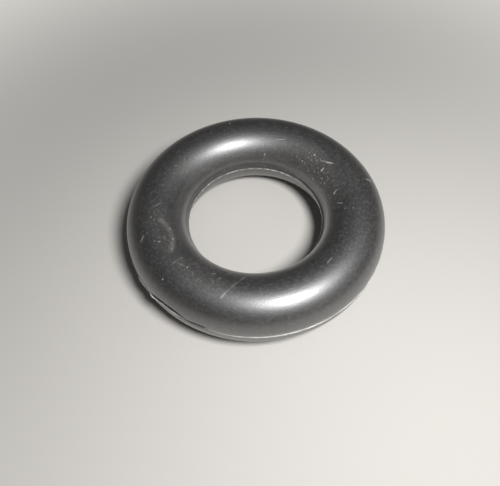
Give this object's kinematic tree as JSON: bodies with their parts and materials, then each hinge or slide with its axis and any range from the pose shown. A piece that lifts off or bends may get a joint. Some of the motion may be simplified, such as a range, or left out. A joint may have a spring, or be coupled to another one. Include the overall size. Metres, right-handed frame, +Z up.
{
  "type": "bobbin winder tire",
  "caption": "Thick black rubber ring with a near-round section and a thin mould line, stretched over a small drive wheel so that it turns a bobbin winder by friction.",
  "frame": {"origin": "on the ring's axis, on the surface that the ring lies flat on", "axes": "+Z up along the ring's axis; the trimming cuts in the mould line are on the -X -Y side"},
  "size_m": [0.0242, 0.0242, 0.0061],
  "materials": {
    "rubber": "satin moulded rubber, lightly scuffed"
  },
  "bodies": {
    "root": {"tire": "rubber"}
  },
  "joints": []
}
